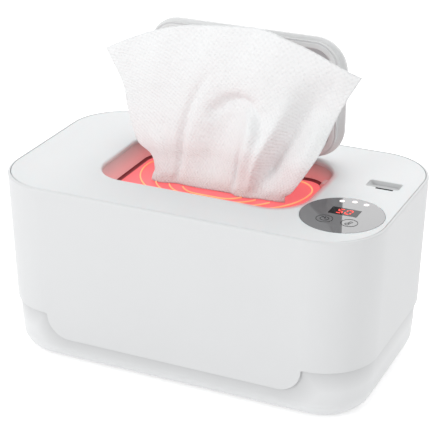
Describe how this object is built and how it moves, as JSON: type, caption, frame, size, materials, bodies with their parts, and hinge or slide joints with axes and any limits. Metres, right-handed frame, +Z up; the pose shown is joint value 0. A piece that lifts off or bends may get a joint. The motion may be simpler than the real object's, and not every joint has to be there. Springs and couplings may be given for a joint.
{
  "type": "baby wipe warmer",
  "caption": "Rounded white wipe warmer with a pop-up lid, a lit heated well that dispenses a wipe, a round touch display and a lift-off housing.",
  "frame": {"origin": "centre of the body's plan at the plane it stands on, under the rubber feet", "axes": "+X along the long side towards the control disc, +Y towards the lid hinge at the back, +Z up"},
  "size_m": [0.21, 0.1244, 0.1787],
  "materials": {
    "housing_plastic": "satin white ABS with a fine moulded grain",
    "base_plastic": "satin milky white ABS",
    "panel_plastic": "satin white ABS",
    "lid_plastic": "satin white ABS",
    "liner_plastic": "matte light grey inner panel",
    "key_plastic": "satin white ABS",
    "inner_plastic": "plain grey acetal",
    "tank_plastic": "natural polypropylene",
    "foot_rubber": "matte grey rubber",
    "seal_silicone": "matte translucent silicone",
    "pad_foam": "closed-cell foam",
    "wipe_cloth": "moist embossed nonwoven cloth",
    "heater_plate": "warm red glowing coated plate",
    "heater_wire": "glowing heating wire",
    "mica_sheet": "pressed mica",
    "sensor_epoxy": "black epoxy bead",
    "fuse_metal": "plain metal case",
    "lead_jacket": "red silicone jacket",
    "ribbon_jacket": "grey flat cable",
    "smoked_disc": "high gloss grey disc",
    "display_lens": "dark smoked lens",
    "lit_segments": "lit red segments",
    "printed_marks": "printed grey marks",
    "light_pipe": "lit frosted acrylic",
    "circuit_board": "green solder mask",
    "display_black": "black moulded parts",
    "inlet_plastic": "black moulded socket",
    "screw_steel": "zinc plated steel",
    "pin_steel": "ground steel",
    "spring_steel": "spring wire"
  },
  "bodies": {
    "base": {"base_tray": "base_plastic", "rubber_feet": "foot_rubber", "foam_pad": "pad_foam", "wipe_tank": "tank_plastic", "tank_gasket": "seal_silicone", "wipe_stack": "wipe_cloth"},
    "housing": {"upper_housing": "housing_plastic", "top_panel": "panel_plastic", "divider_plate": "tank_plastic", "case_screws": "screw_steel", "heating_plate": "heater_plate", "heating_wire": "heater_wire", "insulating_sheet": "mica_sheet", "temperature_sensor": "sensor_epoxy", "thermal_fuse": "fuse_metal", "heater_leads": "lead_jacket", "control_disc": "smoked_disc", "display_window": "display_lens", "display_digits": "lit_segments", "touch_icons": "printed_marks", "light_pipes": "light_pipe", "display_board": "circuit_board", "display_module": "display_black", "touch_springs": "spring_steel", "display_ribbon": "ribbon_jacket", "power_board": "circuit_board", "power_components": "display_black", "power_inlet": "inlet_plastic", "latch_guide": "inner_plastic", "hinge_pins": "pin_steel", "dispensed_wipe": "wipe_cloth", "key_spring": "spring_steel"},
    "release_key": {"release_key": "key_plastic"},
    "latch_bolt": {"latch_bolt": "inner_plastic"},
    "lid": {"lid_shell": "lid_plastic", "lid_liner": "liner_plastic", "lid_seal": "seal_silicone", "lid_spring": "spring_steel"}
  },
  "joints": [
    {"name": "housing_lift", "type": "slide", "parent": "base", "child": "housing", "axis": [0, 0, 1], "range_m": [0, 0.095]},
    {"name": "lid_hinge", "type": "hinge", "parent": "housing", "child": "lid", "pos_m": [-0.0009, 0.0372, 0.1007], "axis": [1, 0, 0], "range_deg": [0, 91.2], "stiffness_Nm_per_rad": 0.008, "springref_deg": -20.05, "deforming": ["dispensed_wipe"]},
    {"name": "key_press", "type": "slide", "parent": "housing", "child": "release_key", "axis": [0, 0, -1], "range_m": [0, 0.0015], "stiffness_N_per_m": 500, "springref_m": -0.002, "deforming": ["key_spring"]},
    {"name": "latch_slide", "type": "slide", "parent": "housing", "child": "latch_bolt", "axis": [1, 0, 0], "range_m": [0, 0.0015]}
  ],
  "couplings": [
    {"joint": "latch_slide", "follows": "key_press", "ratio": 1}
  ]
}
